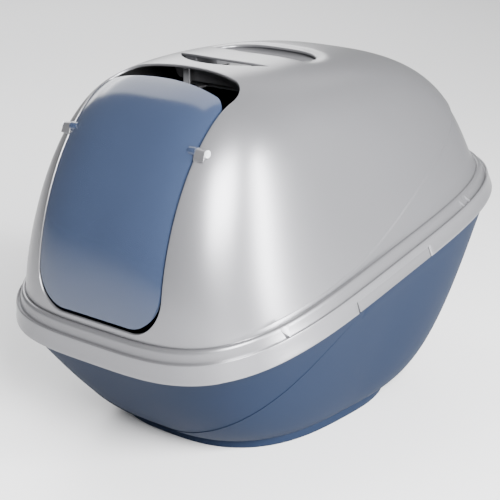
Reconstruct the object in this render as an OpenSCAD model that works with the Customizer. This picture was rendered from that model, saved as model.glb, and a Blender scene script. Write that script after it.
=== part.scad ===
// Hooded front-entry cat litter box: hull-shaped pan, domed hood with a swing door, carry handle and odour filter.
// The front, with the door, faces -Y. The hood and everything on it is drawn level and then tipped with the rim.

/* [Overall] */
// Full width across the skirt of the hood
rim_w = 396; // [370:1:420]
// Full length of the rim, measured along the sloping rim line
rim_l = 575; // [550:1:600]
// Slope of the rim line, rising towards the back
rim_tilt = 12.3; // [9:0.1:14]
// Height of the middle of the rim line above the floor
rim_z = 183.5; // [170:0.5:200]
// Wall of the hood
hood_wall = 3; // [2.5:0.1:4]
// Wall of the pan
pan_wall = 3; // [2.5:0.1:4]

/* [Hood] */
// Height of the dome above the rim line
dome_h = 249; // [235:1:260]
// Width of the dome where it leaves the ledge
dome_w = 365.2; // [340:1:370]
// Reach of the dome in front of the middle
dome_front = 270; // [262:1:272]
// Reach of the dome behind the middle
dome_rear = 266.5; // [258:1:270]
// How far in front of the middle the top of the dome lies
top_shift = 103; // [80:1:115]
// Height of the skirt
skirt_h = 20; // [18:0.5:24]
// Height at which the dome leaves the ledge
ledge_h = 33; // [31:0.5:36]
// Depth of the step behind the styling line
crease_step = 2; // [0.8:0.1:2.2]

/* [Entry] */
// Width of the doorway
entry_w = 180; // [170:1:184]
// Gap between the door and the doorway at each side
door_gap = 2.6; // [2:0.1:4]
// Thickness of the door
door_t = 2.6; // [2:0.1:3.2]
// Radius of the door's pivot pins
pin_r = 2.5; // [2:0.1:3]
// Running clearance of the pins in the door's eyes
pin_play = 0.06; // [0.03:0.01:0.09]
// Radius of the pivot bosses
boss_r = 6.2; // [5.5:0.1:7]

/* [Handle] */
// Width of the grip opening across the hood
grip_w = 140; // [130:1:144]
// Width of the bar that the hand closes on
bar_w = 42; // [36:1:44]
// Depth of the finger well at its front wall
well_depth = 20; // [17:0.5:24]

// Length of the filter pad under the finger well
filter_l = 60; // [50:1:62]
// Width of the filter pad under the finger well
filter_w = 96; // [80:1:104]

/* [Pan] */
// Width of the foot ring
foot_w = 252; // [240:1:264]
// Length of the foot ring
foot_l = 310; // [300:1:330]
// Height of the foot ring
foot_h = 10; // [8:0.5:12]

/* [Clips] */
// Length of each side clip along the skirt
clip_l = 136; // [120:1:150]
// Height of the slits beside a clip
clip_h = 12.5; // [11:0.5:14]
// Width of the slits
slit_w = 1.4; // [1:0.1:2]

/* [Hidden] */

round_fn = 48;           // facets of small turned details
rim_n = [3.64, 3.84];    // squareness of the rim outline, front and rear
dome_n0 = [3.83, 4.14];  // squareness of the dome at the ledge
dome_n1 = [2.34, 2.49];  // squareness of the dome at the top
foot_n = [2.8, 2.8];     // squareness of the foot ring
foot_shift = -8.7;       // middle of the foot ring along Y
dome_base = 29.7;        // level at which the dome curves start
ring_count = 60;         // points round each ring
rim_a = rim_w / 2;
rim_b = rim_l / 2;
dome_a = dome_w / 2;

// Each side curve of the dome is (1 - lean * s) * (1 - s ^ power) ^ (1 / root), from s = 0 at the ledge to 1 at the top
front_curve = [-0.11, 1.4, 1.79];
rear_curve = [-0.015, 3.15, 1.26];
side_curve = [0.30, 5.04, 3.26];

function fall(s, c) = (1 - c[0] * s) * pow(max(1 - pow(s, c[1]), 0), 1 / c[2]);
function mix(a, b, t) = a + (b - a) * t;
function clamp01(t) = min(max(t, 0), 1);
function smooth(t) = let (u = clamp01(t)) u * u * (3 - 2 * u);

// Radius of a superellipse with half sizes a and b and squareness n, in the direction phi
function super_r(a, b, n, phi) = pow(pow(abs(cos(phi)) / a, n) + pow(abs(sin(phi)) / b, n), -1 / n);

// Point of an outline whose front and rear halves differ: half width a, reaches b, squareness n, middle c, level w
function outline_point(a, b, n, c, w, phi) =
    let (k = sin(phi) < 0 ? 0 : 1, r = super_r(a, b[k], n[k], phi)) [r * cos(phi), c + r * sin(phi), w];

// The points of a ring crowd at its four corners
corner_crowd = 7;
function ring_phi(i) = let (t = 360 * (i + 0.5) / ring_count) t + corner_crowd * sin(4 * t);

// Dome at height fraction s in the direction phi, drawn in by the distance d
function dome_point(s, phi, d = 0) =
    let (a = (dome_a - d) * fall(s, side_curve),
        c = -top_shift * s,
        front = (dome_front - d - top_shift) * fall(s, front_curve) + top_shift * (1 - s),
        rear = (dome_rear - d + top_shift) * fall(s, rear_curve) - top_shift * (1 - s),
        n = [mix(dome_n0[0], dome_n1[0], s), mix(dome_n0[1], dome_n1[1], s)])
    outline_point(max(a, 0.5), [max(front, 0.5), max(rear, 0.5)], n, c, mix(dome_base, dome_h - d, s), phi);

// Ledge and skirt: t runs from 0 at the foot of the skirt to 1 where the dome starts, w is the level
function ledge_point(t, w, phi) =
    let (a = mix(rim_a, dome_a, t), b = [mix(rim_b, dome_front, t), mix(rim_b, dome_rear, t)],
        n = [mix(rim_n[0], dome_n0[0], t), mix(rim_n[1], dome_n0[1], t)])
    outline_point(a, b, n, 0, w, phi);

// Height fraction of the styling line: level round the front corners, then climbing round the sides to the back
crease_low = 0.035;
crease_rise = 0.39;
crease_turn = 58;
function from_front(phi) = let (d = abs(phi - 270)) d > 180 ? 360 - d : d;
function crease_s(phi) =
    let (u = clamp01((from_front(phi) - crease_turn) / (180 - crease_turn)))
    crease_low + crease_rise * u * u * (1.6 - 0.6 * u * u);
function crease_depth(phi) = crease_step * smooth((from_front(phi) - 30) / 35);

// Closed solid through a list of rings: the first and the last ring are capped; swap turns the diagonals round
module ring_solid(rings, swap = false) {
    count = len(rings[0]);
    points = [for (ring = rings) each ring];
    sides = [for (i = [0 : len(rings) - 2], j = [0 : count - 1])
        let (k = (j + 1) % count, a = i * count + j, b = i * count + k, c = a + count, d = b + count)
        each swap ? [[a, c, b], [b, c, d]] : [[a, c, d], [a, d, b]]];
    low_cap = [[for (j = [0 : count - 1]) j]];
    high_cap = [[for (j = [count - 1 : -1 : 0]) (len(rings) - 1) * count + j]];
    polyhedron(concat(points), concat(low_cap, sides, high_cap), convexity = 8);
}

function ring_of(f) = [for (i = [0 : ring_count - 1]) f(ring_phi(i))];

// Height fractions that crowd towards the top of the dome, where it closes fastest
function top_steps(count) = [for (i = [1 : count]) 1 - pow(1 - i / (count + 0.35), 1.7)];
function reversed(list) = [for (i = [len(list) - 1 : -1 : 0]) list[i]];
inner_steps = reversed(concat([0.006], top_steps(8)));

// Profile of the skirt and the ledge: lip, valley, broad bead and groove, as [t, level]
ledge_profile = [[0, 0], [0.02, 1.5], [0.25, skirt_h], [0.32, skirt_h + 0.7], [0.38, skirt_h - 0.3], [0.46, skirt_h - 0.2],
    [0.56, skirt_h + 3.4], [0.67, ledge_h - 4], [0.79, ledge_h - 1.3], [0.91, ledge_h - 0.8], [0.98, ledge_h - 2.2],
    [1.02, ledge_h - 2]];
ledge_inside = [[1.02, ledge_h - 6], [0.78, skirt_h + 0.5], [0.52, skirt_h - 1.7], [0.44, skirt_h - 2.5],
    [0.22, 1.5], [0.2, 0]];
dome_start = (ledge_h - 1.4 - dome_base) / (dome_h - dome_base);

// Outer skin below the styling line, stepped in, and above it
side_rows = 4;
top_rows = 11;
function skin_below(k, phi) =
    let (top = crease_s(phi) - 0.006, s = mix(dome_start, top, k / side_rows))
    dome_point(s, phi, crease_depth(phi) * smooth(k * 1.6));
function skin_above(u, phi) = dome_point(mix(crease_s(phi), 1, u), phi);

hood_rings = concat(
    [for (s = inner_steps) ring_of(function(phi) dome_point(s, phi, hood_wall))],
    [for (p = ledge_inside) ring_of(function(phi) ledge_point(p[0], p[1], phi))],
    [for (p = ledge_profile) ring_of(function(phi) ledge_point(p[0], p[1], phi))],
    [for (k = [0 : side_rows]) ring_of(function(phi) skin_below(k, phi))],
    [for (u = concat([0], top_steps(top_rows))) ring_of(function(phi) skin_above(u, phi))]);

// Solid dome drawn in by the distance d, with the same rows as the inside of the hood
module dome_volume(d) {
    ring_solid([for (s = reversed(inner_steps)) ring_of(function(phi) dome_point(s, phi, d))], swap = true);
}

// Doorway: a rounded outline in the plane that leans from the foot of the doorway to its top edge
sill = [-dome_front, 38.6];
brow = [-66, 245];
lean = atan2(brow[1] - sill[1], brow[0] - sill[0]);
entry_l = norm(brow - sill);
sill_r = 40;
brow_r = 24;
brow_bow = 12;
door_foot_gap = 4.6;   // gap below the door
door_top_gap = 27;     // opening above the door
door_r = 14;           // corner radius at the top of the door

function arc_points(c, r, a0, a1, steps) =
    [for (i = [0 : steps]) c + r * [cos(mix(a0, a1, i / steps)), sin(mix(a0, a1, i / steps))]];

// Half width w, from the level foot to the level top, drawn in at the sides by the distance d; r rounds the top corners
function entry_outline(w, foot, top, d, r) =
    let (h = w - d)
    concat(
        arc_points([h - sill_r, foot + sill_r], sill_r, -90, 0, 8),
        arc_points([h - r, top - brow_bow - r], r, 0, 72, 5),
        [for (i = [1 : 7]) let (x = (h - r) * (1 - i / 4)) [x, top - brow_bow * pow(x / h, 2)]],
        arc_points([r - h, top - brow_bow - r], r, 108, 180, 5),
        arc_points([sill_r - h, foot + sill_r], sill_r, 180, 270, 8));

module tipped() {
    translate([0, 0, rim_z])
        rotate([rim_tilt, 0, 0])
            children();
}

module entry_prism(foot, top, d, r) {
    translate([0, sill[0], sill[1]])
        rotate([lean, 0, 0])
            translate([0, 0, -70])
                linear_extrude(height = 220)
                    polygon(entry_outline(entry_w / 2, foot, top, d, r));
}

// Pivot line of the door, on the skin of the dome at the sides of the doorway
pivot = [-169, 204.5];
boss_out = 101;
eye_l = 8;
eye_play = 0.6;
pin_head_r = 4;
pin_head_t = 1.6;
press_play = 0.02;

module along_x(x0, x1, r, at = pivot) {
    translate([x0, at[0], at[1]])
        rotate([0, 90, 0])
            cylinder(r = r, h = x1 - x0, $fn = round_fn);
}

module both_sides() {
    for (side = [0, 1])
        mirror([side, 0, 0])
            children();
}

// Finger slot in front of the bar and the open dish behind it, as outlines seen from above
slot_front = -49;
bar_front = -23;
bar_rear = bar_front + bar_w;
dish_rear = 83;
dish_square = 0.6;       // below 1, the lower the squarer
bar_bow = 14;
slot_half = 64;
cut_from = 150;

function slot_outline() = concat(
    [for (i = [0 : 10]) let (u = mix(-1, 1, i / 10)) [u * slot_half, mix(slot_front, -16, pow(abs(u), 2.2))]],
    [for (i = [0 : 10]) let (u = mix(1, -1, i / 10)) [u * slot_half, bar_front + 0.62 * bar_bow * u * u]]);
function dish_outline() = concat(
    [for (i = [0 : 10]) let (u = mix(-1, 1, i / 10)) [u * grip_w / 2, bar_rear + bar_bow * u * u]],
    [for (i = [1 : 19]) let (a = mix(0, 180, i / 20), side = sign(cos(a)))
        [grip_w / 2 * side * pow(abs(cos(a)), dish_square),
            bar_rear + bar_bow + (dish_rear - bar_rear - bar_bow) * pow(sin(a), dish_square)]]);

module cut_down(outline) {
    translate([0, 0, cut_from])
        linear_extrude(height = cut_from)
            polygon(outline);
}

// Boss on the hood at one side of the doorway, with a tail that runs down into the skin
module hood_boss() {
    tail_l = 16;
    difference() {
        union() {
            along_x(entry_w / 2, boss_out, boss_r);
            translate([entry_w / 2, pivot[0], pivot[1]])
                rotate([-lean - 8, 0, 0])
                    translate([0, -boss_r, -tail_l])
                        cube([boss_out - entry_w / 2 - 3, boss_r, tail_l]);
        }
        along_x(entry_w / 2 - 1, boss_out + 1, pin_r + press_play);
    }
}

module hood_shell() {
    color("silver")
        tipped()
            union() {
                resize([rim_w, 0, 0])
                    difference() {
                        ring_solid(hood_rings);
                        entry_prism(0, entry_l, 0, brow_r);
                        cut_down(slot_outline());
                        cut_down(dish_outline());
                        both_sides()
                            translate([rim_a, clip_mid, 0])
                                cube([60, clip_l + 2 * slit_w, 2 * clip_h], center = true);
                        both_sides()
                            along_x(entry_w / 2 - 5, boss_out + 5, boss_r - 0.5);
                    }
                both_sides()
                    hood_boss();
            }
}

module entry_door() {
    half = entry_w / 2 - door_gap;
    color("steelblue", 0.55)
        tipped()
            union() {
                resize([2 * half, 0, 0])
                    difference() {
                        intersection() {
                            ring_solid(concat(
                                [for (s = inner_steps) ring_of(function(phi) dome_point(s, phi, door_t + 0.8))],
                                [for (s = reversed(inner_steps)) ring_of(function(phi) dome_point(s, phi, 0.8))]));
                            entry_prism(door_foot_gap, entry_l - door_top_gap, door_gap, door_r);
                        }
                        both_sides()
                            along_x(half - eye_l - 3, boss_out, boss_r - 1.5);
                    }
                both_sides()
                    difference() {
                        along_x(half - eye_l, entry_w / 2 - eye_play, boss_r - 1);
                        along_x(half - eye_l - 1, entry_w / 2, pin_r + pin_play);
                    }
            }
}

// Clear pin pressed into the boss of the hood; the eye of the door turns on it between the two heads
module hinge_pin() {
    inner = entry_w / 2 - door_gap - eye_l - 0.4;
    union() {
        along_x(inner - pin_head_t, boss_out + 0.4 + pin_head_t, pin_r);
        along_x(inner - pin_head_t, inner, pin_head_r);
        along_x(boss_out + 0.1, boss_out + 0.1 + pin_head_t, pin_head_r);
    }
}

module hinge_pin_left() {
    color("lightcyan", 0.5)
        tipped()
            mirror([1, 0, 0])
                hinge_pin();
}

module hinge_pin_right() {
    color("lightcyan", 0.5)
        tipped()
            hinge_pin();
}

// Position across the skirt at the wall fraction t, for the place v along the rim
function skirt_x(t, v) =
    let (k = v < 0 ? 0 : 1, n = mix(rim_n[k], dome_n0[k], t), b = mix(rim_b, k == 0 ? dome_front : dome_rear, t))
    mix(rim_a, dome_a, t) * pow(1 - pow(abs(v) / b, n), 1 / n);

// Strip along the skirt from v0 to v1 with a section given as [t, level]
module skirt_strip(section, v0, v1) {
    stations = 8;
    ring_solid([for (i = [0 : stations]) let (v = mix(v0, v1, i / stations))
        [for (p = section) [skirt_x(p[0], v), v, p[1]]]]);
}

// Section of a side clip: skirt wall with a ridge on the inside that snaps past the lug of the pan
clip_mid = -12;
clip_section = [[0.36, 12.2], [0.159, 12.2], [0.02, 1.5], [0, 0.3], [0.2, 0.3], [0.3, 2.6], [0.3, 4.4], [0.25, 5]];

module side_clip() {
    tipped()
        skirt_strip(clip_section, clip_mid - clip_l / 2, clip_mid + clip_l / 2);
}

module side_clip_left() {
    color("silver")
        mirror([1, 0, 0])
            side_clip();
}

module side_clip_right() {
    color("silver")
        side_clip();
}

// Pan: outline of the foot ring drawn in by d, at the level z
function foot_point(phi, d, z) =
    outline_point(foot_w / 2 - d, [foot_l / 2 - d, foot_l / 2 - d], foot_n, foot_shift, z, phi);
function tip_point(p) =
    [p[0], p[1] * cos(rim_tilt) - p[2] * sin(rim_tilt), rim_z + p[1] * sin(rim_tilt) + p[2] * cos(rim_tilt)];
function rim_point(phi, t, w) = tip_point(ledge_point(t, w, phi));

// The side of the pan bulges out quickly above the foot ring; the bulge is fullest at the back
hull_power = 0.85;
function hull_root(phi) = let (c = sin(phi)) mix(1.5, c < 0 ? 1.6 : 2.7, c * c);
function hull_share(s, phi) = pow(1 - pow(1 - s, hull_power), 1 / hull_root(phi));
function hull_point(s, phi, d, t, z) =
    let (foot = foot_point(phi, d, z), top = rim_point(phi, t, -2), g = hull_share(s, phi))
    [mix(foot[0], top[0], g), mix(foot[1], top[1], g), mix(z, top[2], s)];

pan_t = 0.32;                             // where the outside of the pan lies under the skirt
rim_t = 0.475;                            // the same at the top of the rim
wall_t = pan_wall / (rim_a - dome_a);     // the wall as a share of the ledge
floor_top = 10.5;
recess_z = 7.5;
hull_rows = [0.015, 0.05, 0.1, 0.18, 0.3, 0.46, 0.7, 1];

module pan_body() {
    ring_solid(concat(
        [ring_of(function(phi) foot_point(phi, 13, recess_z))],
        [ring_of(function(phi) foot_point(phi, 10, 0))],
        [ring_of(function(phi) foot_point(phi, 1.5, 0))],
        [ring_of(function(phi) foot_point(phi, 0, 1.5))],
        [ring_of(function(phi) foot_point(phi, 0, foot_h))],
        [for (s = hull_rows) ring_of(function(phi) hull_point(s, phi, 0, pan_t, foot_h))],
        [ring_of(function(phi) rim_point(phi, rim_t, 17.4))],
        [ring_of(function(phi) rim_point(phi, rim_t + 0.03, 18))],
        [ring_of(function(phi) rim_point(phi, rim_t + wall_t, 18))],
        [for (s = reversed(hull_rows)) ring_of(function(phi) hull_point(s, phi, 3, pan_t + wall_t, floor_top))],
        [ring_of(function(phi) foot_point(phi, 3, floor_top))]));
}

// Lug under each side clip
lug_section = [[0.45, 9.4], [0.36, 9.4], [0.335, 8.6], [0.335, 7.4], [0.36, 6.6], [0.43, 6.6]];
lug_l = 120;

module base_pan() {
    color("slategray")
        resize([2 * mix(rim_a, dome_a, pan_t), 0, 0])
            union() {
                pan_body();
                both_sides()
                    tipped()
                        skirt_strip(lug_section, clip_mid - lug_l / 2, clip_mid + lug_l / 2);
            }
}

// Finger well: a bowl that hangs below the slot and the dish; its own frame lies on the floor of the bowl
well_wall = 2.4;
well_front = -50.5;
well_slope = 11.3;
well_half = 76;
well_c = 55;
well_rear = 88;
well_n = [3.4, 3.4];     // squareness of the bowl, front and rear
cup_half = 69;           // half width at which the sides of the bowl are cut flat
well_top = 50;

module in_well() {
    translate([0, well_front, 240 - well_depth])
        rotate([-well_slope, 0, 0])
            children();
}

function well_point(t, phi, d) =
    let (q = pow(sin(90 * min(t, 1)), 0.8))
    outline_point(mix(62, well_half, q) - d, [mix(52, well_c, q) - d, mix(46, well_rear, q) - d], well_n, well_c,
        well_top * t, phi);

module well_bowl(d, level) {
    translate([0, 0, level])
        ring_solid([for (t = [0, 0.02, 0.07, 0.16, 0.3, 0.45, 1.01]) ring_of(function(phi) well_point(t, phi, d))]);
}

// Tray below the well for the filter pad, with two ears for the cover
tray_h = 8;
tray_wall = 2;
tray_front = 30;
tray_play = 1;
ear_at = [98, -5];
ear_r = 4;
ear_x = 30;
ear_t = 4;
rod_r = 2;

module tray_block(grow, low, high) {
    translate([-filter_w / 2 - grow, tray_front - grow, low])
        cube([filter_w + 2 * grow, filter_l + 2 * grow, high - low]);
}

module handle_cup() {
    color("gainsboro")
        tipped()
            union() {
                resize([2 * cup_half, 0, 0])
                    difference() {
                        intersection() {
                            dome_volume(hood_wall + 0.25);
                            in_well()
                                well_bowl(0, 0);
                            translate([-cup_half, well_front - 20, 0])
                                cube([2 * cup_half, 2 * well_c + well_rear, dome_h]);
                        }
                        in_well()
                            well_bowl(well_wall, well_wall);
                        in_well()
                            for (i = [-2 : 2])
                                translate([20 * i - 3, tray_front + 4, -1])
                                    cube([6, filter_l - 8, well_wall + 2]);
                    }
                in_well()
                    difference() {
                        tray_block(tray_play + tray_wall, -tray_h, 0.4);
                        tray_block(tray_play, -tray_h - 1, 1);
                    }
                in_well()
                    both_sides()
                        difference() {
                            union() {
                                along_x(ear_x, ear_x + ear_t, ear_r, ear_at);
                                translate([ear_x, ear_at[0] - ear_r, ear_at[1]])
                                    cube([ear_t, 2 * ear_r, -ear_at[1] + 0.4]);
                            }
                            along_x(ear_x - 1, ear_x + ear_t + 1, rod_r + pin_play, ear_at);
                        }
            }
}

module carbon_filter() {
    color("dimgray")
        tipped()
            in_well()
                tray_block(0, -tray_h + 1, -0.3);
}

// Grille under the filter: a plate with slots, a rod that turns in the ears and a tongue in front of the well
cover_t = 2.4;
cover_z = -tray_h - 0.4 - cover_t;
tongue_x = -24;

module filter_cover() {
    front = tray_front - tray_play - tray_wall;
    rear = ear_at[0] - ear_r - 1.5;
    color("gainsboro")
        tipped()
            in_well()
                union() {
                    difference() {
                        translate([-filter_w / 2 - 3, front, cover_z])
                            cube([filter_w + 6, rear - front, cover_t]);
                        for (i = [-4 : 4])
                            translate([10 * i - 2.5, front + 8, cover_z - 1])
                                cube([5, rear - front - 16, cover_t + 2]);
                    }
                    both_sides()
                        translate([ear_x - 8, rear - 2, cover_z])
                            cube([6, ear_at[0] - rear + 2, cover_t]);
                    both_sides()
                        translate([ear_x - 8, ear_at[0] - rod_r, cover_z])
                            cube([6, 2 * rod_r, ear_at[1] - cover_z]);
                    along_x(-ear_x - ear_t - 2, ear_x + ear_t + 2, rod_r, ear_at);
                    translate([tongue_x - 4, -4, cover_z])
                        cube([8, 2, 24]);
                    translate([tongue_x - 4, -4, cover_z])
                        cube([8, front + 6, cover_t]);
                }
}

base_pan();
hood_shell();
entry_door();
hinge_pin_left();
hinge_pin_right();
side_clip_left();
side_clip_right();
handle_cup();
carbon_filter();
filter_cover();
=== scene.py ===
"""Hooded cat litter box: pan, domed hood, tinted swing door, side clips, finger well and filter.

The hood and all it carries are worked out level, in millimetres, and then tipped with the sloping rim into
the row frame.
"""

import logging
import math
from dataclasses import dataclass
from enum import Enum
from typing import Callable, Sequence

import bpy
import numpy as np
from mathutils import Matrix, Vector
from numpy.typing import NDArray

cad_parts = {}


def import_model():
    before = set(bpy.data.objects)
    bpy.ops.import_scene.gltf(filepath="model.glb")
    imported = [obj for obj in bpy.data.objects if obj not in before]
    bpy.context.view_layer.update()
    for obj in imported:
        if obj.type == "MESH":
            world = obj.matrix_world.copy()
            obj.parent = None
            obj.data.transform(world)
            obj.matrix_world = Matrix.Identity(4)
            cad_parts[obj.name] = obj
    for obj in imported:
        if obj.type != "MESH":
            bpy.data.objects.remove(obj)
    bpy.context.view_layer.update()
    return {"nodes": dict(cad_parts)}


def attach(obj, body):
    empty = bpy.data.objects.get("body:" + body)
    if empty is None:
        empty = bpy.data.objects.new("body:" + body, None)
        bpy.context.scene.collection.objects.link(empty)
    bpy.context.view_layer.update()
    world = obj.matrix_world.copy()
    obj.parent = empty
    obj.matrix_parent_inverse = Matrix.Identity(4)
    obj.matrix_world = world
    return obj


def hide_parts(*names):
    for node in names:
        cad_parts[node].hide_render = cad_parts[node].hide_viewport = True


Array = NDArray[np.float64]
LOG = logging.getLogger("litter_box")
MM = 0.001
FAR = 99.0


class Side(Enum):
    """Left or right, as a sign along X."""

    LEFT = -1
    RIGHT = 1


def linear(code: str) -> tuple[float, float, float, float]:
    """Turns an sRGB hex colour into linear light.

    Args:
        code: colour as "#rrggbb".

    Returns:
        Linear red, green, blue and an alpha of one.
    """
    parts = [int(code[i:i + 2], 16) / 255 for i in (1, 3, 5)]
    red, green, blue = [p / 12.92 if p <= 0.04045 else ((p + 0.055) / 1.055) ** 2.4 for p in parts]
    return red, green, blue, 1.0


def add_node(tree: bpy.types.NodeTree, kind: str, inputs: dict | None = None, links: dict | None = None,
             stops: Sequence[tuple[float, Sequence[float]]] = ()) -> bpy.types.Node:
    """Adds one shader node with its socket values and incoming links.

    Args:
        tree: node tree to add to.
        kind: node type name.
        inputs: socket name to a fixed value.
        links: socket name to the output socket that feeds it.
        stops: positions and colours, for a colour ramp.

    Returns:
        The new node.
    """
    node = tree.nodes.new(kind)
    for name, value in (inputs or {}).items():
        node.inputs[name].default_value = value
    for name, socket in (links or {}).items():
        tree.links.new(socket, node.inputs[name])
    for number, (position, colour) in enumerate(stops):
        element = node.color_ramp.elements[number]
        element.position, element.color = position, colour
    return node


def scaled(colour: Sequence[float], factor: float) -> tuple[float, float, float, float]:
    """Makes a linear colour darker or lighter, up to white, and keeps its alpha at one."""
    return *(min(c * factor, 1.0) for c in colour[:3]), 1.0


def start_material(name: str) -> tuple[bpy.types.Material, bpy.types.NodeTree, bpy.types.NodeSocket]:
    """Makes an empty material.

    Args:
        name: name of the finish.

    Returns:
        The material, its node tree, and the object coordinates that its patterns read.
    """
    material = bpy.data.materials.new(name)
    material.use_nodes = True
    tree = material.node_tree
    tree.nodes.clear()
    return material, tree, add_node(tree, "ShaderNodeTexCoord").outputs["Object"]


@dataclass(frozen=True)
class MouldedPlastic:
    """Injection-moulded polypropylene: an even colour with a fine spark-eroded grain and faint flow clouds.

    The grain gives each highlight a soft satin edge, and the clouds keep large walls from looking drawn. The
    grain of the real mould is finer than shows, so it is drawn at just under a millimetre.
    """

    name: str
    colour: str
    roughness: float
    grain_mm: float = 0.9
    grain_depth: float = 0.05
    cloud_mm: float = 120.0
    cloud: float = 0.03
    metallic: float = 0.0
    specular: float = 0.5
    ior: float = 1.49
    spread: float = 0.04

    def build(self) -> bpy.types.Material:
        """Makes the material.

        Returns:
            The node material.
        """
        material, tree, place = start_material(self.name)
        base = linear(self.colour)
        clouds = add_node(tree, "ShaderNodeTexNoise", links={"Vector": place},
                          inputs={"Scale": 1 / (self.cloud_mm * MM), "Detail": 3.0})
        body = add_node(tree, "ShaderNodeValToRGB", links={"Fac": clouds.outputs["Fac"]},
                        stops=((0.3, scaled(base, 1 - self.cloud)), (0.7, scaled(base, 1 + self.cloud))))
        grain = add_node(tree, "ShaderNodeTexNoise", links={"Vector": place},
                         inputs={"Scale": 1 / (self.grain_mm * MM), "Detail": 2.0})
        rough = add_node(tree, "ShaderNodeMapRange", inputs={"To Min": self.roughness - self.spread,
                                                             "To Max": self.roughness + self.spread},
                         links={"Value": grain.outputs["Fac"]})
        bump = add_node(tree, "ShaderNodeBump", inputs={"Strength": self.grain_depth, "Distance": 0.2 * MM},
                        links={"Height": grain.outputs["Fac"]})
        shader = add_node(tree, "ShaderNodeBsdfPrincipled",
                          inputs={"Metallic": self.metallic, "IOR": self.ior,
                                  "Specular IOR Level": self.specular},
                          links={"Base Color": body.outputs["Color"], "Roughness": rough.outputs["Result"],
                                 "Normal": bump.outputs["Normal"]})
        add_node(tree, "ShaderNodeOutputMaterial", links={"Surface": shader.outputs["BSDF"]})
        return material


@dataclass(frozen=True)
class ClearPlastic:
    """Clear polystyrene, tinted in the mass where it has a colour: glossy, with faint dull clouds."""

    name: str
    colour: str
    opacity: float
    roughness: float = 0.08
    sink_mm: float = 60.0
    ior: float = 1.55

    def build(self) -> bpy.types.Material:
        """Makes the material.

        Returns:
            The node material.
        """
        material, tree, place = start_material(self.name)
        base = linear(self.colour)
        wave = add_node(tree, "ShaderNodeTexNoise", inputs={"Scale": 1 / (self.sink_mm * MM), "Detail": 2.0},
                        links={"Vector": place})
        rough = add_node(tree, "ShaderNodeMapRange", inputs={"To Min": self.roughness * 0.7,
                                                             "To Max": self.roughness * 1.4},
                         links={"Value": wave.outputs["Fac"]})
        body = add_node(tree, "ShaderNodeValToRGB", links={"Fac": wave.outputs["Fac"]},
                        stops=((0.3, scaled(base, 0.94)), (0.7, base)))
        shader = add_node(tree, "ShaderNodeBsdfPrincipled", inputs={"IOR": self.ior, "Alpha": self.opacity},
                          links={"Base Color": body.outputs["Color"], "Roughness": rough.outputs["Result"]})
        add_node(tree, "ShaderNodeOutputMaterial", links={"Surface": shader.outputs["BSDF"]})
        return material


def fall(s: Array, lean: float, power: float, root: float) -> Array:
    """Side curve of the dome, one at the ledge and nought on top: (1 - lean s) (1 - s^power)^(1 / root)."""
    return (1 - lean * s) * np.maximum(1 - s ** power, 0) ** (1 / root)


def smooth(t: Array) -> Array:
    """Smooth step from nought to one."""
    u = np.clip(t, 0, 1)
    return u * u * (3 - 2 * u)


def from_front(phi: Array) -> Array:
    """Angle between a direction and the front, in degrees from nought to 180."""
    return np.degrees(np.abs((phi + math.pi / 2 + math.pi) % (2 * math.pi) - math.pi))


def crowded(count: int, share: float, first: float = 0.0) -> Array:
    """Directions round a full turn, crowded at the corners of a squared outline: turn + share sin(4 turn)."""
    turn = np.linspace(0, 2 * math.pi, count, endpoint=False) + first
    return turn + share * np.sin(4 * turn)


def round_corner(x: Array, y: Array, radius: float) -> Array:
    """Distance outside a corner of the radius given, from the distances outside its two edges."""
    a, b = x + radius, y + radius
    return np.hypot(np.maximum(a, 0), np.maximum(b, 0)) + np.minimum(np.maximum(a, b), 0) - radius


def outline(a: Array | float, front: Array | float, rear: Array | float, n_front: Array | float,
            n_rear: Array | float, centre: Array | float, w: Array | float, phi: Array) -> Array:
    """Points of a superellipse whose front and rear halves differ in reach and squareness.

    The radius in the direction phi is ((|cos phi| / a)^n + (|sin phi| / b)^n)^(-1/n).

    Args:
        a: half width.
        front: reach towards -v.
        rear: reach towards +v.
        n_front: squareness in front.
        n_rear: squareness behind.
        centre: v of the middle.
        w: level.
        phi: direction in radians.

    Returns:
        Array of x, v, w.
    """
    ahead = np.sin(phi) < 0
    b = np.where(ahead, front, rear)
    n = np.where(ahead, n_front, n_rear)
    r = ((np.abs(np.cos(phi)) / a) ** n + (np.abs(np.sin(phi)) / b) ** n) ** (-1 / n)
    return np.stack(np.broadcast_arrays(r * np.cos(phi), centre + r * np.sin(phi), w), axis=-1)


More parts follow.
